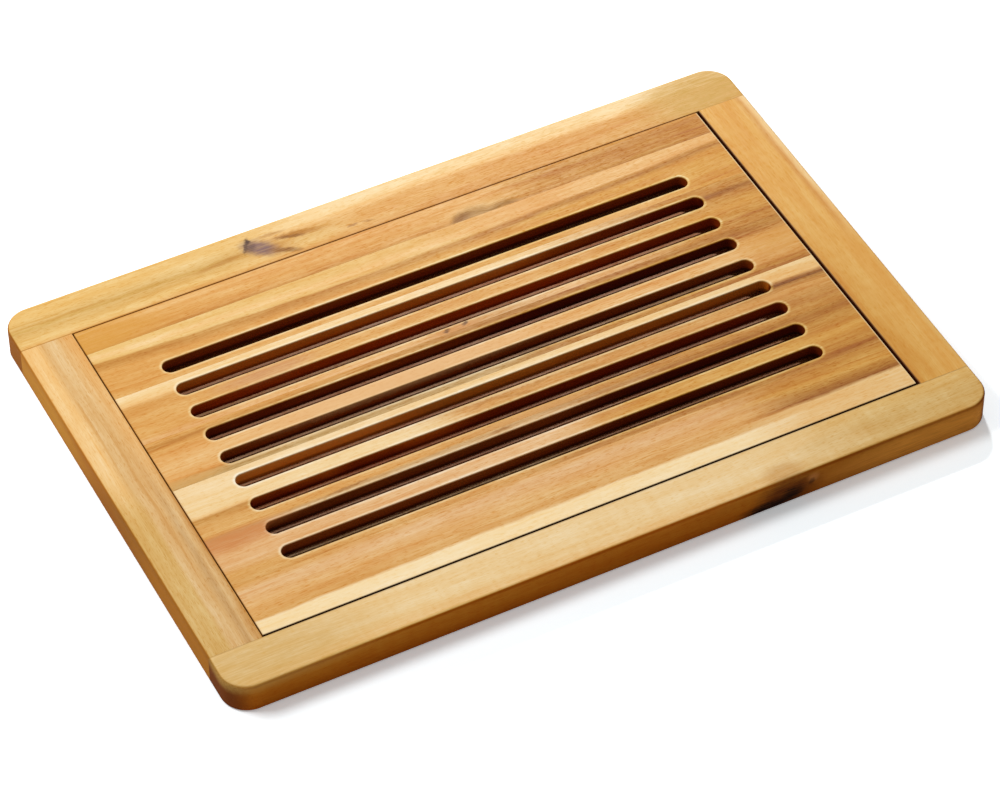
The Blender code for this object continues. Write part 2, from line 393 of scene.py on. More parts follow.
# A ledge's inner edge is further than this from the frame, and its outer edge isn't
WELL_INSIDE = 5 * MM
for name in LEDGES:
    low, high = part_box(name)
    low.z = FLOOR_HIGH.z + FIT
    high.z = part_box("insert_stave_1")[0].z - FIT
    strip = start_block(name + "_wood", low, high)

    def upper_inner_edge(middle, along, normals):
        inside_x = OPENING_LEFT + WELL_INSIDE < middle.x < OPENING_RIGHT - WELL_INSIDE
        inside_y = OPENING_FRONT + WELL_INSIDE < middle.y < OPENING_BACK - WELL_INSIDE
        return inside_x and inside_y and middle.z > high.z - NEAR and abs(along.z) < LEVEL

    ease_edges(strip, upper_inner_edge, size=LEDGE_ROUNDING, steps=4)
    pieces[name] = finish_piece(strip, "frame", name)
print("ledges:", len(LEDGES))

# %% [markdown]
# ## The slotted grid
# The grid is glued up from seven staves and then slotted with a router bit, which leaves half-round ends. The
# slots' upper rims are sanded round, and they catch the light along each slot. All other edges, the slots'
# lower rims too, are hardly touched. Each slot is cut by a bar whose upright edges are bevelled until its
# ends are round. The rims are found by their faces: an edge between the top and an upright wall, away from
# the glue lines.

# %% Slot cutter
GRID_STAVES = 7
GRID_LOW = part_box("insert_stave_1")[0]
GRID_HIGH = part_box("insert_stave_%d" % GRID_STAVES)[1]
GLUE_LINES = [
    (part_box("insert_stave_%d" % number)[1].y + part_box("insert_stave_%d" % (number + 1))[0].y) / 2
    for number in range(1, GRID_STAVES)
]
SLOT_COUNT = 9
SLOTS_PER_STAVE = 2
SLOT_PITCH = (GLUE_LINES[1] - GLUE_LINES[0]) / SLOTS_PER_STAVE
SLOT_WIDTH = SLOT_PITCH / 2
SLOT_END_STEPS = 14
CUTTER_PAST = 2 * MM
# From the grid's end to the slot's end
SLOT_MARGIN = 33.9 * MM
SLOT_CENTRES = [GLUE_LINES[0] + (index + 0.5) * SLOT_PITCH for index in range(SLOT_COUNT)]


def slot_cutter(centre_y):
    """A bar with round ends, as wide as a slot and taller than the grid."""
    low = (GRID_LOW.x + SLOT_MARGIN, centre_y - SLOT_WIDTH / 2, GRID_LOW.z - CUTTER_PAST)
    high = (GRID_HIGH.x - SLOT_MARGIN, centre_y + SLOT_WIDTH / 2, GRID_HIGH.z + CUTTER_PAST)
    bar = start_block("slot_cutter", low, high)

    def upright_edge(middle, along, normals):
        return abs(along.z) > UPRIGHT

    ease_edges(bar, upright_edge, size=SLOT_WIDTH / 2, steps=SLOT_END_STEPS)
    return bar


print("slots: %d, %.2f mm wide, %.2f mm apart" % (SLOT_COUNT, SLOT_WIDTH / MM, SLOT_PITCH / MM))

# %% Grid staves
SLOT_RIM = 0.5 * MM
# An edge closer to a glue line than this is a glued one
GLUED = 0.1 * MM
for number in range(1, GRID_STAVES + 1):
    name = "insert_stave_%d" % number
    low, high = glued_box("insert_stave", number, GRID_STAVES)
    stave = start_block(name + "_wood", low, high)
    for centre_y in SLOT_CENTRES:
        if low.y < centre_y < high.y:
            cut_away(stave, slot_cutter(centre_y))

    def free_edge(middle, along, normals):
        beside_wall = any(abs(normal.z) < LEVEL for normal in normals)
        beside_face = any(abs(normal.z) > UPRIGHT for normal in normals)
        glued = any(abs(middle.y - line) < GLUED for line in GLUE_LINES)
        return beside_wall and beside_face and not glued

    def slot_rim(middle, along, normals):
        inside_x = GRID_LOW.x + MM < middle.x < GRID_HIGH.x - MM
        inside_y = GRID_LOW.y + MM < middle.y < GRID_HIGH.y - MM
        return free_edge(middle, along, normals) and inside_x and inside_y and middle.z > GRID_HIGH.z - NEAR

    def plain_edge(middle, along, normals):
        return free_edge(middle, along, normals) and not slot_rim(middle, along, normals)

    eased = ease_edges(stave, plain_edge, size=SANDED, steps=1)
    eased += ease_edges(stave, slot_rim, size=SLOT_RIM, steps=3)
    pieces[name] = finish_piece(stave, "insert", name)
    print(name, "eased edges:", eased, "faces:", len(stave.data.polygons))

# %% [markdown]
# ## Oiled acacia
# Such boards are acacia, planed, sanded and oiled. Its sapwood is cream and its heartwood runs from honey to
# brown, so one stave can hold both with a sharp border, and this is what gives the board its stripes. An
# image would be the quick way. Here every stave has its own solid wood instead: bands of named colours across
# the grain, bent by slow noise, with growth lines, fibres and pores on top. A solid pattern in object
# coordinates also runs down over the edges and into the slots, as in real wood.

# %% Colours and the node helper
PALETTE = {
    "bone": "F9DEAC",
    "ivory": "F0D09C",
    "sapwood": "EECC92",
    "cream": "EABE7C",
    "straw": "E2B76C",
    "wheat": "D6AD66",
    "marigold": "DEA651",
    "brass": "CDA152",
    "copper": "F0A040",
    "lichen": "BC965A",
    "sand": "DAB074",
    "apricot": "E1AC66",
    "blush": "E3B37A",
    "honey": "DAA256",
    "amber": "D3984C",
    "gold": "D2963C",
    "rose": "C69A60",
    "clay": "C89064",
    "rust": "CC8446",
    "tan": "C48A3E",
    "bronze": "C18430",
    "brown": "B27422",
    "walnut": "9E6014",
    "husk": "865210",
    "olive": "8A5C08",
    "side_brown": "9C6A2C",
    "side_red": "9C5E20",
    "side_amber": "B87624",
    "end_grain": "703610",
    "redwood": "66300E",
    "knot_grey": "80605A",
    "knot": "46281C",
    # Painted shade for faces deep in the gap round the grid
    "gap_painted_shade": "441806",
    # Also the painted shade at the foot of the slot walls
    "char": "1A0E0A",
}


def linear(hex_colour):
    """An sRGB hex colour as linear red, green, blue and 1."""
    channels = [int(hex_colour[at:at + 2], 16) / 255 for at in (0, 2, 4)]
    return (*[c / 12.92 if c <= 0.04045 else ((c + 0.055) / 1.055) ** 2.4 for c in channels], 1.0)


def add_node(tree, kind, inputs=None, **settings):
    """Add a node with its settings. An input is a plain value, an output, or a node for its first output."""
    node = tree.nodes.new("ShaderNode" + kind)
    for name, value in settings.items():
        setattr(node, name, value)
    for name, value in (inputs or {}).items():
        if isinstance(value, bpy.types.Node):
            value = value.outputs[0]
        if isinstance(value, bpy.types.NodeSocket):
            tree.links.new(value, node.inputs[name])
        else:
            node.inputs[name].default_value = value
    return node


print("wood colours:", len(PALETTE))

# %% [markdown]
# ## Run of the grain
# Grain is never quite straight. It wanders over a hand's length, ripples over a finger's, and leans aside
# where a branch grew. Instead of bending each stripe, the place itself is bent, and all that is drawn in it
# follows the same grain. Each bend is a slow noise, stretched along the grain. Its sizes are in millimetres.

# %% Bent grain
# A noise keeps mostly between these two values
NOISE_LOW = 0.3
NOISE_HIGH = 0.7
# name: length along the grain, width across it, detail
SLOW_LAYERS = {
    "wander": (230, 45, 1.0),
    "ripple": (38, 12, 2.0),
    "change": (90, 25, 2.0),
}
RIPPLE_MM = 3.0


def bent_grain(tree, look, place, length, seed):
    """The place in the bent grain, and the slow noise that blurs where the bands change."""
    slow = {}
    for layer, (long, wide, detail) in SLOW_LAYERS.items():
        stretched = add_node(tree, "VectorMath", {
            0: place, 1: (1 / long, 1 / wide, 1 / wide), 2: seed,
        }, operation="MULTIPLY_ADD")
        slow[layer] = add_node(tree, "TexNoise", {"Vector": stretched, "Scale": 1.0, "Detail": detail})
    wander = look.get("wander", 2.0)
    sway = add_node(tree, "MapRange", {
        "Value": slow["wander"], 1: NOISE_LOW, 2: NOISE_HIGH, 3: -wander, 4: wander,
    }, clamp=False)
    sway = add_node(tree, "Math", {0: slow["ripple"], 1: RIPPLE_MM, 2: sway}, operation="MULTIPLY_ADD")
    sway = add_node(tree, "Math", {0: sway, 1: RIPPLE_MM / 2}, operation="SUBTRACT")

    # A long arc in the grain, deepest at mid length
    along = add_node(tree, "SeparateXYZ", {0: place}).outputs["X"]
    share = add_node(tree, "Math", {0: along, 1: 2 / length}, operation="MULTIPLY")
    squared = add_node(tree, "Math", {0: share, 1: share}, operation="MULTIPLY")
    arc = add_node(tree, "MapRange", {"Value": squared, 3: look.get("sag", 0.0), 4: 0.0})
    sway = add_node(tree, "Math", {0: sway, 1: arc}, operation="ADD")

    # Grain pushed aside by knots
    for x, y, reach_x, reach_y, push in look.get("bends", ()):
        inside = add_node(tree, "Mapping", {
            "Vector": place, "Location": (x, y, 0), "Scale": (reach_x, reach_y, reach_y),
        }, vector_type="TEXTURE")
        distance = add_node(tree, "VectorMath", {0: inside}, operation="LENGTH").outputs["Value"]
        pushed = add_node(tree, "MapRange", {
            "Value": distance, 1: 0.0, 2: 1.0, 3: push, 4: 0.0,
        }, interpolation_type="SMOOTHERSTEP")
        sway = add_node(tree, "Math", {0: sway, 1: pushed}, operation="ADD")
    offset = add_node(tree, "CombineXYZ", {"Y": sway})
    grain = add_node(tree, "VectorMath", {0: place, 1: offset}, operation="ADD")
    return grain, slow["change"]


print("slow layers:", len(SLOW_LAYERS))

# %% [markdown]
# ## Bands of colour
# Across a stave the colour changes in bands, and its left end has other bands than its right end. So each
# look names two sets of bands, in millimetres from the stave's middle line. The two are blended along the
# stave, and noise keeps the blend from being a straight line.

# %% Bands
# The bands lean by this much for each millimetre of depth, so they slant in the ends and walls
SLANT = 0.2
# Shares of the blend between two sets of bands: its noise, and how far it runs on past either end
CHANGE_NOISE = 1.6
CHANGE_OVERSHOOT = 0.35


def colour_bands(tree, look, grain, along, change_noise, size):
    """The bands' colour at every place, changing from the left end's bands to the right end's."""
    length, width, thickness = size
    across = add_node(tree, "SeparateXYZ", {0: grain}).outputs
    slanted = add_node(tree, "Math", {0: across["Z"], 1: SLANT, 2: across["Y"]}, operation="MULTIPLY_ADD")
    top_shift = SLANT * thickness / 2
    share = add_node(tree, "MapRange", {
        "Value": slanted, 1: top_shift - width / 2, 2: top_shift + width / 2,
    })
    end_colours = []
    for bands in (look["near"], look["far"]):
        ramp = add_node(tree, "ValToRGB", {"Fac": share})
        stops = ramp.color_ramp.elements
        while len(stops) > 1:
            stops.remove(stops[-1])
        for index, (at, colour) in enumerate(bands):
            position = min(max(at / width + 0.5, 0), 1)
            stop = stops[0] if index == 0 else stops.new(position)
            stop.position = position
            stop.color = linear(PALETTE[colour])
        end_colours.append(ramp)

    # The blend between the two ends
    start, end = look.get("change", (-0.25, 0.3))
    mixed = add_node(tree, "MapRange", {
        "Value": along["X"], 1: start * length, 2: end * length,
        3: -CHANGE_OVERSHOOT, 4: 1 + CHANGE_OVERSHOOT,
    }, clamp=False)
    mixed = add_node(tree, "Math", {0: change_noise, 1: CHANGE_NOISE, 2: mixed}, operation="MULTIPLY_ADD")
    mixed = add_node(tree, "MapRange", {
        "Value": mixed, 1: CHANGE_NOISE / 2, 2: CHANGE_NOISE / 2 + 1,
    }, interpolation_type="SMOOTHSTEP")
    return add_node(tree, "Mix", {
        0: mixed, 6: end_colours[0], 7: end_colours[1],
    }, data_type="RGBA").outputs[2]


print("slant of the bands:", SLANT)

# %% [markdown]
# ## Figure of the wood
# Growth lines, fibres and pores are darker and also redder than the wood between them. A gamma on the colour
# does both at once, so all that darkens adds to one gamma value, which starts at 1. Acacia's growth lines lie
# 2 to 4 mm apart. Its fibres and pores are about 0.2 mm wide, finer than a pixel here, so they are drawn two
# to four times as wide.

# %% Growth lines, fibres, streaks and pores
# name: length, width, detail, how much it adds to the gamma or takes off
FIGURE_LAYERS = {
    "cloud": (55, 8, 2.0, 0.15),
    "growth": (150, 2.4, 2.0, 0.10),
    "fibre": (14, 0.8, 2.0, 0.08),
    "curl": (5, 22, 1.5, 0.03),
}
STREAK_LENGTH = 120
STREAK_WIDTH = 3.2
PORE_LENGTH = 3.4
PORE_WIDTH = 0.38
PORE_AMOUNT = 0.3
# Values of the noise at which a streak or a pore starts, and is darkest
STREAK_START = 0.56
STREAK_FULL = 0.76
PORE_START = 0.62
PORE_FULL = 0.74


def figured(tree, look, grain, seed):
    """The gamma with the figure in it, and the fibres and pores themselves, for marks and gloss."""
    gamma = 1.0
    figure = {}
    for layer, (long, wide, detail, amount) in FIGURE_LAYERS.items():
        stretched = add_node(tree, "VectorMath", {
            0: grain, 1: (1 / long, 1 / wide, 1 / wide), 2: seed,
        }, operation="MULTIPLY_ADD")
        figure[layer] = add_node(tree, "TexNoise", {"Vector": stretched, "Scale": 1.0, "Detail": detail})
        amount *= look.get(layer, 1.0)
        part = add_node(tree, "MapRange", {
            "Value": figure[layer], 1: NOISE_LOW, 2: NOISE_HIGH, 3: -amount, 4: amount,
        }, clamp=False)
        gamma = add_node(tree, "Math", {0: gamma, 1: part}, operation="ADD")

    # Brown streaks, a few millimetres wide
    streaks = add_node(tree, "VectorMath", {
        0: grain, 1: (1 / STREAK_LENGTH, 1 / STREAK_WIDTH, 1 / STREAK_WIDTH), 2: seed * 3,
    }, operation="MULTIPLY_ADD")
    streaks = add_node(tree, "TexNoise", {"Vector": streaks, "Scale": 1.0, "Detail": 2.0})
    streaks = add_node(tree, "MapRange", {
        "Value": streaks, 1: STREAK_START, 2: STREAK_FULL, 3: 0.0, 4: look.get("streaks", 0.3),
    }, interpolation_type="SMOOTHSTEP")
    gamma = add_node(tree, "Math", {0: gamma, 1: streaks}, operation="ADD")

    # Pores: short dark dashes
    pores = add_node(tree, "VectorMath", {
        0: grain, 1: (1 / PORE_LENGTH, 1 / PORE_WIDTH, 1 / PORE_WIDTH), 2: seed,
    }, operation="MULTIPLY_ADD")
    pores = add_node(tree, "TexNoise", {"Vector": pores, "Scale": 1.0, "Detail": 0.0})
    pores = add_node(tree, "MapRange", {"Value": pores, 1: PORE_START, 2: PORE_FULL})
    gamma = add_node(tree, "Math", {
        0: pores, 1: PORE_AMOUNT * look.get("pores", 1.0), 2: gamma,
    }, operation="MULTIPLY_ADD")
    return gamma, figure["fibre"], pores


print("figure layers:", len(FIGURE_LAYERS))

# %% [markdown]
# ## Walls and slot edges
# The sides and the slots' walls are deeper in colour than the top, and more so towards their foot. Partly
# this is oil, which the wood drinks more of where saw and router have left it open, and partly it is painted
# shade of faces turned away from the light. A second material for the walls would show a hard border at the
# rims. Here height alone tells where a wall is, and the border is a soft one, as wide as the rim. The top
# round each slot is paler, a painted highlight.

# %% Walls
# Millimetres below the top: a look's arris has its full strength down to the first, and ends at the second
ARRIS_FULL = 0.9
ARRIS_END = 2.6


def oil_and_shade_walls(tree, look, height, half, gamma):
    """Where the walls are, from 0 to 1, and the gamma with the walls' deeper colour in it, partly oil and
    partly painted shade.
    """
    rim_start, rim_end = look.get("rim", (0.1, 0.7))
    below_rim = add_node(tree, "MapRange", {
        "Value": height, 1: half - rim_start, 2: half - rim_end,
    }, interpolation_type="SMOOTHSTEP")
    foot_start, foot_end = look.get("foot", (0.0, 0.3))
    above_foot = add_node(tree, "MapRange", {"Value": height, 1: foot_start - half, 2: foot_end - half})
    wall = add_node(tree, "Math", {0: below_rim, 1: above_foot}, operation="MULTIPLY")
    # The walls deepen towards their foot: partly oil, partly painted shade
    wall_top, wall_foot = look.get("wall", (1.5, 1.9))
    oil_and_painted_shade = add_node(tree, "MapRange", {
        "Value": height, 1: half - rim_end, 2: -half, 3: wall_top, 4: wall_foot,
    })
    gamma = add_node(tree, "Math", {0: wall, 1: oil_and_painted_shade, 2: gamma}, operation="MULTIPLY_ADD")

    # Painted shade: a side can be darker still just under its upper edge
    arris = add_node(tree, "MapRange", {
        "Value": height, 1: half - ARRIS_END, 2: half - ARRIS_FULL, 3: 0.0, 4: look.get("arris", 0.0),
    })
    gamma = add_node(tree, "Math", {0: wall, 1: arris, 2: gamma}, operation="MULTIPLY_ADD")
    return wall, gamma


print("the arris ends at: %.1f mm" % ARRIS_END)

# %% Slot edges
# A painted highlight round each slot, in millimetres from its wall: up to the first the top is palest, and
# from the second on it is plain wood
PALEST_TO = 0.8
PALE_TO = 2.3
PALING = 0.42
# Millimetres below the top at which the paling starts, coming up the wall, and is full
PALING_START = 0.35
PALING_FULL = 0.05


def pale_slot_edges(tree, board_place, along, size, gamma):
    """The gamma, less round the slots: a painted highlight along their edges."""
    length = size.x
    half = size.z / 2
    board = add_node(tree, "SeparateXYZ", {0: board_place})
    row = add_node(tree, "Math", {
        0: board.outputs["Y"], 1: 1 / SLOT_PITCH, 2: -GLUE_LINES[0] / SLOT_PITCH,
    }, operation="MULTIPLY_ADD")
    in_rows = add_node(tree, "Math", {0: row, 1: SLOT_COUNT}, operation="LESS_THAN")

    # Distance from the slot's middle line, which ends where its round ends begin
    off_line = add_node(tree, "Math", {0: row}, operation="FRACT")
    off_line = add_node(tree, "Math", {0: off_line, 1: 0.5}, operation="SUBTRACT")
    off_line = add_node(tree, "Math", {0: off_line, 1: SLOT_PITCH / MM}, operation="MULTIPLY")
    past_end = add_node(tree, "Math", {0: along["X"]}, operation="ABSOLUTE")
    straight = length / 2 - (SLOT_MARGIN + SLOT_WIDTH / 2) / MM
    past_end = add_node(tree, "Math", {0: past_end, 1: straight}, operation="SUBTRACT")
    past_end = add_node(tree, "Math", {0: past_end, 1: 0.0}, operation="MAXIMUM")
    away = add_node(tree, "CombineXYZ", {"X": past_end, "Y": off_line})
    away = add_node(tree, "VectorMath", {0: away}, operation="LENGTH").outputs["Value"]

    slot_edge = SLOT_WIDTH / 2 / MM
    pale = add_node(tree, "MapRange", {
        "Value": away, 1: slot_edge + PALEST_TO, 2: slot_edge + PALE_TO, 3: -PALING, 4: 0.0,
    }, interpolation_type="SMOOTHSTEP")
    pale = add_node(tree, "Math", {0: pale, 1: in_rows}, operation="MULTIPLY")
    on_top = add_node(tree, "MapRange", {
        "Value": along["Z"], 1: half - PALING_START, 2: half - PALING_FULL,
    })
    return add_node(tree, "Math", {0: pale, 1: on_top, 2: gamma}, operation="MULTIPLY_ADD")


print("pale edge round a slot: %.1f mm" % PALE_TO)

# %% [markdown]
# ## Sides and marks
# Some places have a tone over the wood. End grain and knots have it as their own colour. The faces in the gap
# round the grid, and the top beside it, have painted shade, with a thin painted highlight along the grid's
# right end, and the foot of a slot's wall has painted shade too. Each one is a mask, from 0 to 1, that says
# where the place is, and a named colour. A noise that shakes the place gives knots their ragged borders.

# %% Sides
# Millimetres below the top at which a face starts to have the gap's painted shade, and has it fully
SUNK_START = 0.2
SUNK_FULL = 0.5
# Millimetres from the piece's side at which that tone starts, and is full
BESIDE_START = 0.9
BESIDE_FULL = 0.3
# Millimetres above the underside at which the painted shade on a slot's wall starts, and is darkest
SHADE_START = 3.2
SHADE_FULL = 1.2


def side_tones(tree, look, along, wall, size):
    """Masks and tones: painted shade and a painted highlight in the gap, painted shade at the slot walls'
    foot, and the own tones of ends and sides.
    """
    reaches = {"X": size.x / 2, "Y": size.y / 2}
    half = size.z / 2
    tones = []

    # Painted shade on the faces in the gap between grid and frame, and on one side a painted highlight. The
    # top beside the gap can have a little of it as well
    sunk = add_node(tree, "MapRange", {"Value": along["Z"], 1: half - SUNK_START, 2: half - SUNK_FULL})
    for axis, sign, tone, in_gap, beside_gap in look.get("gap_sides", ()):
        start, full = (sign * (reaches[axis] - inward) for inward in (BESIDE_START, BESIDE_FULL))
        beside = add_node(tree, "MapRange", {"Value": along[axis], 1: start, 2: full})
        amount = add_node(tree, "MapRange", {"Value": sunk, 3: beside_gap, 4: in_gap})
        tones.append((add_node(tree, "Math", {0: beside, 1: amount}, operation="MULTIPLY"), tone))

    # Painted shade: slot walls are darker towards their foot
    shade_top, shade_foot = look.get("shade", (0.0, 0.0))
    shade = add_node(tree, "MapRange", {
        "Value": along["Z"], 1: SHADE_START - half, 2: SHADE_FULL - half, 3: shade_top, 4: shade_foot,
    }, interpolation_type="SMOOTHSTEP")
    tones.append((add_node(tree, "Math", {0: wall, 1: shade}, operation="MULTIPLY"), "char"))

    # End grain and sides with a tone of their own
    for axis, sign, depth, tone, strength in look.get("dips", ()):
        start, full = (sign * (reaches[axis] - inward) for inward in (depth, depth / 8))
        beside = add_node(tree, "MapRange", {
            "Value": along[axis], 1: start, 2: full, 4: strength,
        }, interpolation_type="SMOOTHSTEP")
        tones.append((add_node(tree, "Math", {0: beside, 1: wall}, operation="MULTIPLY"), tone))
    return tones


print("slot walls darken below: %.1f mm" % SHADE_START)

# %% Knots and marks
# How far a border is shaken to and fro in all, in millimetres, and how fine the shaking is
RAGGED_MM = Vector((3.6, 2.4, 2.4))
RAGGED_SCALE = 0.35
# Shares of a mark's reach: it has its full strength up to the first, and ends at the second
MARK_FULL = 0.3
MARK_END = 1.15
# A mark's strength between two fibres and on one
BETWEEN_FIBRES = 0.7
ON_FIBRE = 1.2


def mark_tones(tree, look, place, grain, fibre):
    """Masks and tones of the look's knots and marks."""
    shaking = add_node(tree, "TexNoise", {"Vector": grain, "Scale": RAGGED_SCALE, "Detail": 3.0})
    ragged = add_node(tree, "VectorMath", {
        0: shaking.outputs["Color"], 1: RAGGED_MM, 2: -RAGGED_MM / 2,
    }, operation="MULTIPLY_ADD")
    ragged = add_node(tree, "VectorMath", {0: place, 1: ragged}, operation="ADD")
    fibrous = add_node(tree, "MapRange", {
        "Value": fibre, 1: NOISE_LOW, 2: NOISE_HIGH, 3: BETWEEN_FIBRES, 4: ON_FIBRE,
    })
    tones = []
    for middle, reach, turned, tone, strength in look.get("marks", ()):
        inside = add_node(tree, "Mapping", {
            "Vector": ragged, "Location": middle, "Rotation": (0, 0, math.radians(turned)), "Scale": reach,
        }, vector_type="TEXTURE")
        distance = add_node(tree, "VectorMath", {0: inside}, operation="LENGTH").outputs["Value"]
        mask = add_node(tree, "MapRange", {
            "Value": distance, 1: MARK_FULL, 2: MARK_END, 3: strength, 4: 0.0,
        }, interpolation_type="SMOOTHSTEP")
        tones.append((add_node(tree, "Math", {0: mask, 1: fibrous}, operation="MULTIPLY"), tone))
    return tones


print("borders are shaken by up to: %.1f mm" % (RAGGED_MM.x / 2))

# %% [markdown]
# ## The whole wood
# Now the parts come together, in one material for each piece, placed in millimetres from the piece's middle
# with X along the grain. The finish is rubbed-in oil, which leaves a satin shine and no film, so fibres and
# pores can still be felt. They are a little duller than the wood between them, and a fine bump shows them.

# %% Oiled acacia
# Far enough apart in the noise that no two pieces share their figure
SEED_STEP = Vector((37.1, 11.7, 5.3))
# Roughness of satin oil between two fibres and on one, and what pores and walls add to it
ROUGH_LOW = 0.40
ROUGH_HIGH = 0.52
ROUGH_PORES = 0.15
ROUGH_WALLS = 0.25
# Specular level of the sanded faces and of the walls
SHINE_FACE = 0.12
SHINE_WALL = 0.05
OIL_IOR = 1.48
BUMP_STRENGTH = 0.35
PORE_DEPTH = 0.06 * MM


def oiled_acacia(name, low, high, look):
    """The wood of one piece between two corners, with its grain along X, or along Y if the look turns it."""
    material = bpy.data.materials.new(name)
    material.use_nodes = True
    tree = material.node_tree
    tree.nodes.clear()
    turn = look.get("turn", 0)
    rotation = Euler((0, 0, math.radians(turn)))
    centre = (low + high) / 2 / MM
    size = (high - low) / MM
    if turn:
        size = Vector((size.y, size.x, size.z))
    seed = SEED_STEP * look["seed"]
    board_place = add_node(tree, "TexCoord").outputs["Object"]
    place = add_node(tree, "Mapping", {
        "Vector": board_place, "Location": -(rotation.to_matrix() @ centre), "Rotation": rotation,
        "Scale": (1 / MM, 1 / MM, 1 / MM),
    })
    along = add_node(tree, "SeparateXYZ", {0: place}).outputs

    # Colour
    grain, change_noise = bent_grain(tree, look, place, size.x, seed)
    bands = colour_bands(tree, look, grain, along, change_noise, size)
    gamma, fibre, pores = figured(tree, look, grain, seed)
    wall, gamma = oil_and_shade_walls(tree, look, along["Z"], size.z / 2, gamma)
    if look.get("slot_edges"):
        gamma = pale_slot_edges(tree, board_place, along, size, gamma)
    colour = add_node(tree, "Gamma", {"Color": bands, "Gamma": gamma})
    tones = side_tones(tree, look, along, wall, size) + mark_tones(tree, look, place, grain, fibre)
    for mask, tone in tones:
        colour = add_node(tree, "Mix", {
            0: mask, 6: colour, 7: linear(PALETTE[tone]),
        }, data_type="RGBA").outputs[2]

    # Satin oil, duller along fibres, in pores and on walls
    rough = add_node(tree, "MapRange", {
        "Value": fibre, 1: NOISE_LOW, 2: NOISE_HIGH, 3: ROUGH_LOW, 4: ROUGH_HIGH,
    })
    rough = add_node(tree, "Math", {0: pores, 1: ROUGH_PORES, 2: rough}, operation="MULTIPLY_ADD")
    rough = add_node(tree, "Math", {0: wall, 1: ROUGH_WALLS, 2: rough}, operation="MULTIPLY_ADD")
    shine = add_node(tree, "MapRange", {"Value": wall, 3: SHINE_FACE, 4: SHINE_WALL})
    relief = add_node(tree, "Math", {0: pores, 1: -1.0, 2: fibre}, operation="MULTIPLY_ADD")
    relief = add_node(tree, "Bump", {"Height": relief, "Strength": BUMP_STRENGTH, "Distance": PORE_DEPTH})
    surface = add_node(tree, "BsdfPrincipled", {
        "Base Color": colour, "Roughness": rough, "Normal": relief, "IOR": OIL_IOR,
        "Specular IOR Level": shine,
    })
    add_node(tree, "OutputMaterial", {"Surface": surface})
    return material


print("roughness of the oiled faces: %.2f to %.2f" % (ROUGH_LOW, ROUGH_HIGH))

# %% [markdown]
# ## A look for each piece
# Every look lists its bands from the front of the piece to the back, at its left end (near) and its right end
# (far), and what is special about it: how far the grain wanders, its knots and its marks. Places are in
# millimetres from the piece's middle. A stile's look is turned by a quarter: its bands run from the right to
# the left, near at its front end and far at its back end.

# %% Looks of the grid staves
# A bend: its middle, how far it reaches along and across the grain, and how far it pushes the grain aside
# A mark: its middle, its reach from the middle, its turn in degrees, its colour and its strength
LOOKS = {}
LOOKS["insert_stave_1"] = {
    "seed": 1, "sag": -1.0, "wander": 0.8, "change": (0.1, 0.45),
    "near": [
        (-19.1, "bone"), (-10.4, "bone"), (-8.4, "honey"), (2, "apricot"), (12, "blush"), (19.1, "honey"),
    ],
    "far": [
        (-19.1, "cream"), (-5.2, "cream"), (-2.6, "walnut"), (1.5, "brown"), (8, "gold"), (19.1, "bronze"),
    ],
}
LOOKS["insert_stave_2"] = {
    "seed": 2, "wander": 1.5, "change": (-0.15, 0.3),
    "near": [
        (-20, "amber"), (-12, "honey"), (-4, "blush"), (3, "blush"), (9, "blush"), (18, "rose"),
        (20, "honey"),
    ],
    "far": [
        (-20, "tan"), (-17, "brown"), (-12, "bronze"), (0, "gold"), (10, "bronze"), (17, "brown"),
        (20, "brown"),
    ],
    "marks": [
        ((-190, 12, 4), (52, 9, 6), 0, "rust", 0.9),
        ((-116, 18, 4), (16, 1.2, 4), 3, "walnut", 0.7),
        ((-21, 18, 4), (9, 1.2, 4), 2, "walnut", 0.7),
        ((132, 17, 4), (15, 1.4, 4), -2, "walnut", 0.7),
    ],
}
LOOKS["insert_stave_3"] = {
    "seed": 3, "wander": 1.0, "change": (-0.3, 0.05),
    "near": [(-20, "honey"), (-12, "amber"), (-7.0, "tan"), (-5.0, "cream"), (-2, "sapwood"), (20, "ivory")],
    "far": [
        (-20, "bronze"), (-8, "tan"), (0, "amber"), (3.5, "tan"), (6, "walnut"), (7, "husk"), (8, "walnut"),
        (10.5, "cream"), (20, "sapwood"),
    ],
    "marks": [
        ((-22, 1, 4), (12, 1.3, 4), 14, "brown", 0.5),
        ((-2, -1, 4), (16, 1.5, 4), -12, "brown", 0.5),
        ((18, 2, 4), (14, 1.4, 4), 12, "brown", 0.5),
        ((42, -1, 4), (18, 1.8, 4), -8, "brown", 0.5),
        ((0, 4.2, 4), (60, 2.0, 5), 0, "sapwood", 0.6),
        ((0, -18, 4), (50, 4, 5), 0, "apricot", 0.5),
    ],
}
LOOKS["insert_stave_4"] = {
    "seed": 4, "wander": 1.5,
    "near": [
        (-20, "lichen"), (-16, "lichen"), (-12, "apricot"), (6, "apricot"), (12, "honey"), (16, "tan"),
        (20, "honey"),
    ],
    "far": [
        (-20, "brown"), (-15.5, "bronze"), (-12, "amber"), (0, "apricot"), (8, "honey"), (15, "brown"),
        (20, "brown"),
    ],
    "marks": [
        ((205, 0, 4), (45, 13, 6), 0, "gold", 0.55),
        ((0, 19, 4), (60, 4, 5), 0, "side_brown", 0.35),
        ((-195, -17, 4), (30, 4, 5), 0, "honey", 0.6),
        ((-60, 0, 4), (115, 10, 5), 0, "blush", 0.8),
    ],
}
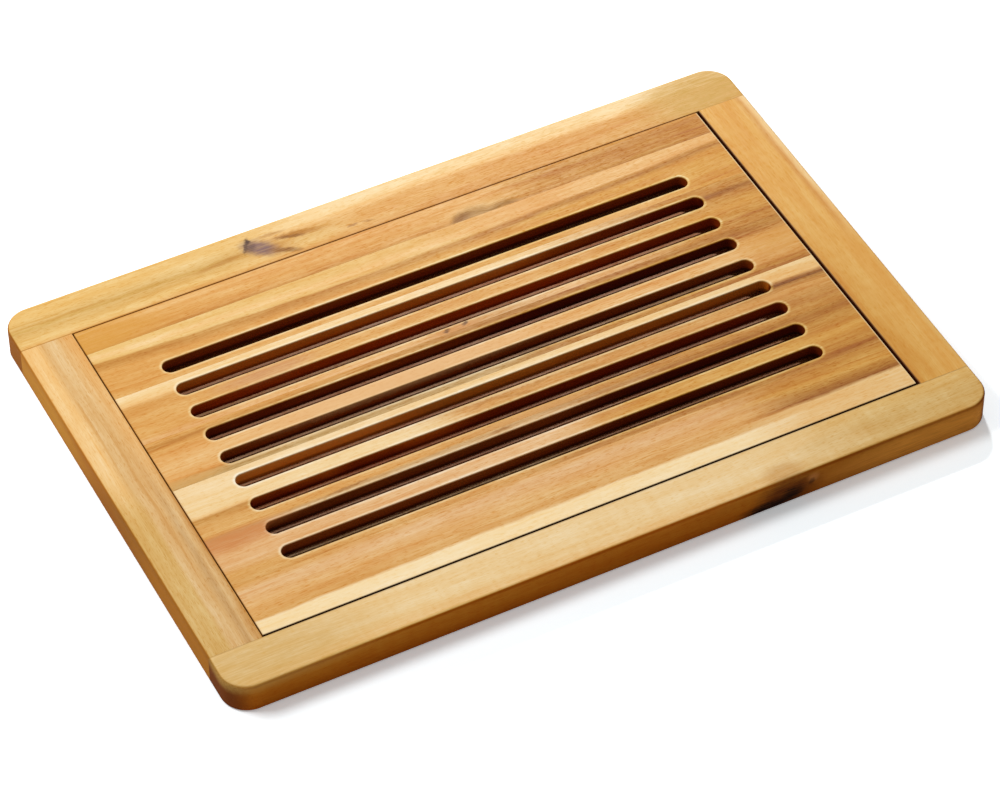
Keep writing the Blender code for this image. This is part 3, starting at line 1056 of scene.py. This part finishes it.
LOOKS["insert_stave_5"] = {
    "seed": 5, "wander": 1.2, "change": (0.0, 0.5),
    "near": [
        (-20, "blush"), (-14, "honey"), (-5, "honey"), (9.5, "amber"), (12, "cream"), (16, "sapwood"),
        (20, "ivory"),
    ],
    "far": [
        (-20, "bronze"), (-14, "bronze"), (-2, "gold"), (7, "bronze"), (10.5, "walnut"), (14, "bronze"),
        (20, "bronze"),
    ],
    "bends": [(-7, -18, 30, 10, 1.5)],
    "marks": [
        ((-120, 0, 4), (40, 6, 5), 0, "clay", 0.6),
        ((12, -18, 4), (50, 4, 5), 0, "side_brown", 0.3),
        ((-7, -18.5, 4), (19, 5, 5), 0, "rust", 0.35),
        ((-13, -17.6, 4), (3.0, 1.7, 5), 20, "knot", 0.65),
        ((-1, -16.8, 4), (2.8, 1.5, 5), 30, "knot", 0.75),
    ],
}
LOOKS["insert_stave_6"] = {
    "seed": 6, "sag": 5.5, "wander": 0.8,
    "near": [
        (-20, "honey"), (-6, "honey"), (3, "honey"), (8, "tan"), (10.6, "tan"), (12.2, "straw"),
        (16, "cream"), (20, "straw"),
    ],
    "far": [
        (-20, "gold"), (-8, "gold"), (6, "gold"), (9.6, "brown"), (11.4, "bronze"), (13, "apricot"),
        (20, "apricot"),
    ],
    "marks": [((120, -18, 4), (50, 5, 5), 0, "apricot", 0.6)],
}
LOOKS["insert_stave_7"] = {
    "seed": 7, "wander": 0.8, "change": (-0.05, 0.45),
    "near": [(-9.6, "tan"), (-7, "amber"), (-2, "honey"), (9.6, "apricot")],
    "far": [(-9.6, "brown"), (-7, "bronze"), (1, "bronze"), (6, "tan"), (9.6, "gold")],
    "bends": [(43, -9.6, 20, 14, -4), (63, -9.6, 14, 9, -2.5)],
    "marks": [
        ((-206, 0, 4), (70, 16, 6), 0, "gold", 0.8),
        ((45, -6.0, 4), (21, 12, 5), 6, "cream", 0.5),
        ((45, -9.6, 4), (16, 10.0, 5), 0, "olive", 0.75),
        ((37, -8.6, 4), (9, 6.5, 5), 10, "husk", 0.8),
        ((64, -9.6, 4), (12, 6.0, 5), 0, "olive", 0.8),
        ((45, -11.5, 4), (10, 6.4, 5), 0, "rose", 0.7),
        ((64, -11.5, 4), (7, 4.0, 5), 0, "amber", 0.6),
    ],
}
print("grid looks:", len(LOOKS))

# %% What the grid staves share
# A side in the gap, with painted shade or a painted highlight: its axis and direction, its colour, and how
# strong that is in the gap and beside it
for look in LOOKS.values():
    look["rim"] = (0.5, 1.1)
    # The walls' deeper colour is partly oil and partly painted shade
    look["wall"] = (1.5, 1.8)
    # Painted shade at the foot of the slot walls
    look["shade"] = (0.35, 0.85)
    # A painted highlight round the slots
    look["slot_edges"] = True
    look["foot"] = (-1.0, -0.5)
    # Painted shade on the grid's end sides in the gap, and a painted highlight as a pale line on the top
    # along its right end
    look["gap_sides"] = [
        ("X", -1, "brown", 0.9, 0.15), ("X", 1, "ivory", 0.0, 0.8), ("X", 1, "husk", 0.9, 0.0),
    ]
for name in ("insert_stave_1", "insert_stave_7"):
    LOOKS[name]["slot_edges"] = False
# Slot walls in the pale staves: a deeper gamma, partly oil and partly painted shade, and less painted shade
# at the foot
for name in ("insert_stave_3", "insert_stave_5"):
    LOOKS[name]["wall"] = (1.7, 1.9)
    LOOKS[name]["shade"] = (0.0, 0.6)
# Painted shade on the grid's front and back sides in the gap
LOOKS["insert_stave_1"]["gap_sides"].append(("Y", -1, "gap_painted_shade", 0.95, 0.15))
LOOKS["insert_stave_7"]["gap_sides"].append(("Y", 1, "brown", 0.8, 0.8))
print("staves with slot edges:", sum(look["slot_edges"] for look in LOOKS.values()))

# %% Looks of the rails
# A dip: its axis and direction, how deep it reaches into the wood, its colour and its strength
LOOKS["back_rail"] = {
    "seed": 11, "wander": 1.0, "growth": 0.6, "change": (-0.3, 0.05), "wall": (1.15, 1.4),
    # Painted shade in the gap beside the grid, and on the top beside it
    "gap_sides": [("Y", -1, "brown", 0.95, 0.8)],
    "dips": [("X", -1, 9, "side_red", 0.95), ("X", 1, 9, "end_grain", 0.6)],
    "near": [
        (-16, "honey"), (-12, "straw"), (-3.5, "wheat"), (-1.5, "brass"), (1, "wheat"), (8, "straw"),
        (16, "straw"),
    ],
    "far": [(-16, "amber"), (-6, "honey"), (1, "honey"), (4, "cream"), (7, "sapwood"), (16, "sapwood")],
    "bends": [(-80, -1, 34, 16, 4)],
    "marks": [
        ((215, -2, 10), (50, 26, 12), 0, "brass", 0.95),
        ((150, -6, 10), (45, 9, 6), 0, "amber", 0.3),
        ((-104, -2.6, 10), (20, 2.2, 4), 5, "brown", 0.6),
        ((-70, 6.0, 10), (12, 1.8, 4), -3, "brown", 0.6),
        ((-56, -0.2, 10), (20, 3.0, 4), -8, "brown", 0.9),
        ((-60, -0.8, 10), (11, 1.8, 4), -14, "husk", 0.8),
        ((-74, -4, 10), (18, 7.5, 4), -30, "brown", 0.5),
        ((-80, -1.6, 10), (14, 7.5, 4), -38, "knot_grey", 1.0),
        ((-84.5, 1.0, 10), (4.5, 3.6, 4), 50, "knot", 0.55),
        ((-86.5, 3.4, 10), (8, 1.6, 4), 62, "knot", 0.8),
        ((-84.5, 6.6, 10), (2.4, 2.6, 4), 0, "knot", 1.0),
        ((-67, -9.8, 10), (12, 2.6, 4), -24, "husk", 0.9),
        ((-23, -9, 10), (4.2, 1.2, 4), 0, "walnut", 0.9),
        ((-14, -9.8, 10), (5, 1.1, 4), -12, "walnut", 0.6),
    ],
}
LOOKS["front_rail"] = {
    "seed": 12, "wander": 1.5, "curl": 2.0, "growth": 0.5, "streaks": 0.15, "change": (0.0, 0.5),
    # Painted shade in the gap, in part of the front face's deeper colour, and just under its upper edge
    "gap_sides": [("Y", 1, "gap_painted_shade", 0.95, 0.3)], "wall": (1.3, 2.0), "arris": 0.8,
    "dips": [("X", -1, 14, "end_grain", 0.95), ("X", 1, 9, "end_grain", 0.4)],
    "near": [(-14.7, "straw"), (-12.5, "cream"), (-6, "sapwood"), (14.7, "sapwood")],
    "far": [(-14.7, "wheat"), (0, "wheat"), (14.7, "straw")],
    "marks": [
        ((-220, 0, 10), (90, 26, 8), 0, "brass", 0.6),
        ((102, -9, 10), (16, 8, 4), 0, "tan", 0.5),
        ((205, -14.7, -2), (95, 4, 14), 0, "copper", 0.7),
        ((103, -14.7, -1), (24, 6, 13), 0, "redwood", 0.95),
        ((91, -14.7, -7.0), (21, 6, 5.5), 0, "char", 1.0),
        ((106, -14.7, -3.0), (9, 6, 6.0), 0, "char", 0.85),
        ((119, -14.7, 3.5), (4.5, 6, 4.0), 0, "rust", 0.6),
        ((118, -14.7, 0.5), (2.5, 6, 3.5), 0, "char", 0.6),
    ],
}
print("looks with rails:", len(LOOKS))

# %% Looks of the stiles
LOOKS["left_stile"] = {
    "seed": 13, "turn": -90, "wander": 1.0, "growth": 0.8,
    # Painted shade in the gap beside the grid
    "gap_sides": [("Y", -1, "walnut", 0.9, 0.15)],
    "dips": [("Y", 1, 2, "side_brown", 0.6)],
    "near": [
        (-16, "tan"), (-12, "sand"), (-9, "rose"), (-5, "sand"), (1, "sand"), (4, "wheat"), (16, "wheat"),
    ],
    "far": [(-16, "apricot"), (-4, "sand"), (3, "sand"), (7, "cream"), (16, "cream")],
    "marks": [
        ((-95, 16, -1), (90, 3, 13), 0, "side_amber", 0.9),
        ((95, 16, -1), (80, 3, 13), 0, "gold", 0.75),
    ],
}
LOOKS["right_stile"] = {
    "seed": 14, "turn": -90, "wander": 1.0, "growth": 0.4, "streaks": 0.1, "fibre": 0.6, "cloud": 0.8,
    # Painted shade in the gap beside the grid
    "pores": 0.4, "gap_sides": [("Y", 1, "gap_painted_shade", 0.98, 0.8)], "wall": (1.15, 1.4),
    "near": [(-16, "straw"), (-12, "marigold"), (-6, "marigold"), (16, "gold")],
    "far": [(-16, "sapwood"), (-13, "cream"), (-10.5, "amber"), (-7, "marigold"), (16, "marigold")],
}
print("looks of visible pieces:", len(LOOKS))

# %% Woods of all pieces
HIDDEN_BANDS = [
    [(-20, "clay"), (-5, "rust"), (8, "clay"), (20, "rose")],
    [(-20, "rust"), (-2, "clay"), (2, "rose"), (20, "clay")],
    [(-20, "clay"), (0, "clay"), (12, "rust"), (20, "clay")],
]
FIRST_HIDDEN_SEED = 20
for index, (name, piece) in enumerate(pieces.items()):
    low, high = piece_box(piece)
    if name not in LOOKS:
        LOOKS[name] = {
            "seed": FIRST_HIDDEN_SEED + index,
            "turn": -90 if high.y - low.y > high.x - low.x else 0,
            "near": HIDDEN_BANDS[index % len(HIDDEN_BANDS)],
            "far": HIDDEN_BANDS[(index + 1) % len(HIDDEN_BANDS)],
        }
    wood = oiled_acacia(name + "_oiled_acacia", low, high, LOOKS[name])
    piece.data.materials.clear()
    piece.data.materials.append(wood)
print("woods:", len(pieces), "nodes in one:", len(wood.node_tree.nodes))

# %% [markdown]
# ## Ground, background and light
# The board lies on white paper. Plain paper would render pale grey at this level of light, and more light
# would bleach the wood. So for camera rays only, the paper is brighter and shines a little, and it still
# takes the board's shadow. All other rays meet plain matt paper. The light is a small soft box behind the
# board and to the right, which falls through the slots onto the crumb floor as thin lines, and a large one to
# the left. A plain pale world fills the shadows.

# %% Paper
PAPER_SIZE = 12
PAPER_COLOUR = "F0F0F0"
# A linear colour, a little bluish, as the board's shade on the ground is in the photograph
PAPER_SEEN = (1.19, 1.27, 1.31, 1)
PAPER_SHINE = 0.24
bpy.ops.object.select_all(action="DESELECT")
bpy.ops.mesh.primitive_plane_add(size=PAPER_SIZE, location=(0, 0, -0.1 * MM))
paper = bpy.context.object
paper.name = "paper"
paper_white = bpy.data.materials.new("white_paper")
paper_white.use_nodes = True
tree = paper_white.node_tree
tree.nodes.clear()
seen = add_node(tree, "LightPath").outputs["Is Camera Ray"]
matt = add_node(tree, "BsdfDiffuse", {"Color": linear(PAPER_COLOUR)})
bright = add_node(tree, "BsdfDiffuse", {"Color": PAPER_SEEN})
shine = add_node(tree, "Emission", {"Color": (1, 1, 1, 1), "Strength": PAPER_SHINE})
both = add_node(tree, "AddShader", {0: bright, 1: shine})
paper_surface = add_node(tree, "MixShader", {0: seen, 1: matt, 2: both})
add_node(tree, "OutputMaterial", {"Surface": paper_surface})
paper.data.materials.append(paper_white)
print("paper:", tuple(round(side, 1) for side in paper.dimensions))

# %% World
WORLD_FILL = 0.26
world = bpy.data.worlds.new("pale_room")
bpy.context.scene.world = world
world.use_nodes = True
tree = world.node_tree
tree.nodes.clear()
rays = add_node(tree, "LightPath").outputs
seen = add_node(tree, "Math", {0: rays["Is Camera Ray"], 1: rays["Is Glossy Ray"]}, operation="MAXIMUM")
seen = add_node(tree, "Math", {0: seen, 1: rays["Is Transmission Ray"]}, operation="MAXIMUM")
strength = add_node(tree, "MapRange", {"Value": seen, 3: WORLD_FILL, 4: 1.0})
background = add_node(tree, "Background", {"Color": (1, 1, 1, 1), "Strength": strength})
add_node(tree, "OutputWorld", {"Surface": background})
print("world fill:", WORLD_FILL)

# %% Lamps
# Angles in degrees, the azimuth from the board's back towards its right. Sizes in metres, power in watts
LAMPS = {
    "soft_box_behind": {"azimuth": 28, "elevation": 39.7, "width": 0.14, "height": 0.04, "power": 13.8},
    "soft_box_left": {"azimuth": -66, "elevation": 52, "width": 0.55, "height": 0.5, "power": 12.8},
}
LAMP_DISTANCE = 1.6
for name, lamp_look in LAMPS.items():
    azimuth = math.radians(lamp_look["azimuth"])
    elevation = math.radians(lamp_look["elevation"])
    place = LAMP_DISTANCE * Vector((
        math.sin(azimuth) * math.cos(elevation), math.cos(azimuth) * math.cos(elevation), math.sin(elevation),
    ))
    bpy.ops.object.light_add(type="AREA", location=place)
    lamp = bpy.context.object
    lamp.name = name
    lamp.rotation_euler = place.to_track_quat("Z", "Y").to_euler()
    lamp.data.shape = "RECTANGLE"
    lamp.data.size = lamp_look["width"]
    lamp.data.size_y = lamp_look["height"]
    lamp.data.energy = lamp_look["power"]
print("lamps:", len(LAMPS))

# %% [markdown]
# ## The look
# The look is Blender's Standard view transform, which shows colours as they are written.

# %% The look
bpy.context.scene.view_settings.view_transform = "Standard"
